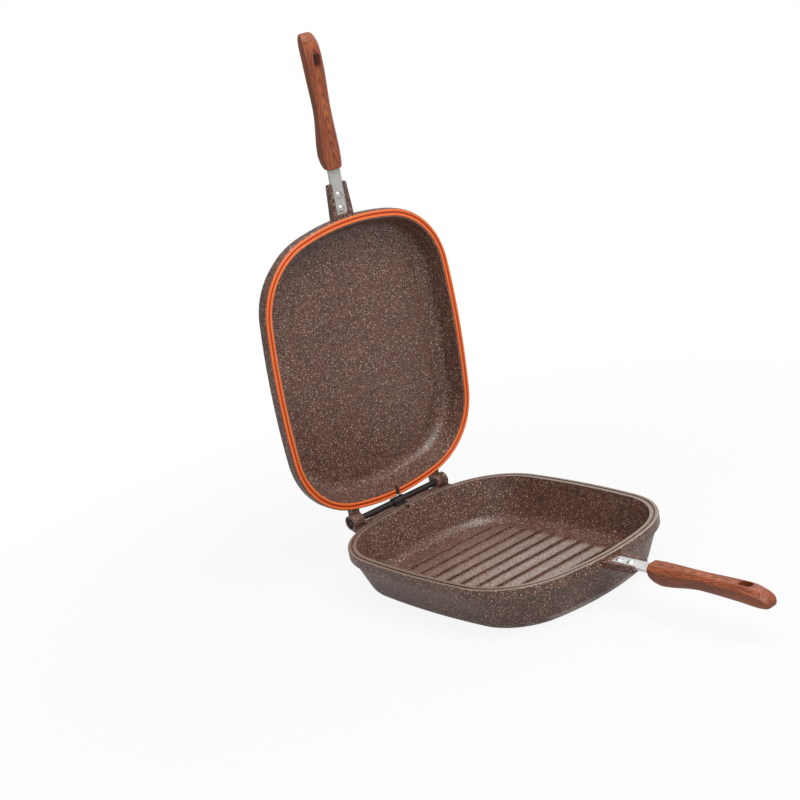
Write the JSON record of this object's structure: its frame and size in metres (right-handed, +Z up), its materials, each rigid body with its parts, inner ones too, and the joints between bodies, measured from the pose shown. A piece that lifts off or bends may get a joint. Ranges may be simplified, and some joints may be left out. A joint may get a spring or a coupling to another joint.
{
  "type": "double sided flip pan",
  "caption": "Hinged double sided frying pan: two shallow rounded rectangular halves with a silicone seal, each with its own long riveted handle, for turning food over by flipping the whole pan.",
  "frame": {"origin": "middle of the lower half's flat base, on the surface it stands on", "axes": "+X from the hinge towards the lower half's handle, +Y along the hinge rod, +Z up; the upper half is stored standing open at 88 degrees on its stops"},
  "size_m": [0.505, 0.24, 0.5315],
  "materials": {
    "coated_aluminium": "brown non-stick coating with fine pale and dark speckles, satin",
    "seal_silicone": "orange silicone, matt",
    "dark_steel": "black, satin",
    "black_plastic": "black moulded, matt",
    "tang_steel": "plain pressed steel, fine grain",
    "rivet_steel": "polished domes",
    "grip_bakelite": "reddish brown with a printed dark wood grain, satin",
    "screw_steel": "zinc plated",
    "magnet": "nickel plated"
  },
  "bodies": {
    "lower_half": {"lower_pan": "coated_aluminium", "hinge_rod": "dark_steel", "rod_rings": "dark_steel", "rod_clip": "black_plastic", "lower_tang": "tang_steel", "lower_rivets": "rivet_steel", "lower_grip": "grip_bakelite", "lower_grip_screw": "screw_steel", "lower_magnet": "magnet"},
    "upper_half": {"upper_pan": "coated_aluminium", "gasket": "seal_silicone", "upper_tang": "tang_steel", "upper_rivets": "rivet_steel", "upper_grip": "grip_bakelite", "upper_grip_screw": "screw_steel", "upper_magnet": "magnet"}
  },
  "joints": [
    {"name": "lid_hinge", "type": "hinge", "parent": "lower_half", "child": "upper_half", "pos_m": [-0.153, 0, 0.0525], "axis": [0, -1, 0], "range_deg": [-88, 0]}
  ]
}
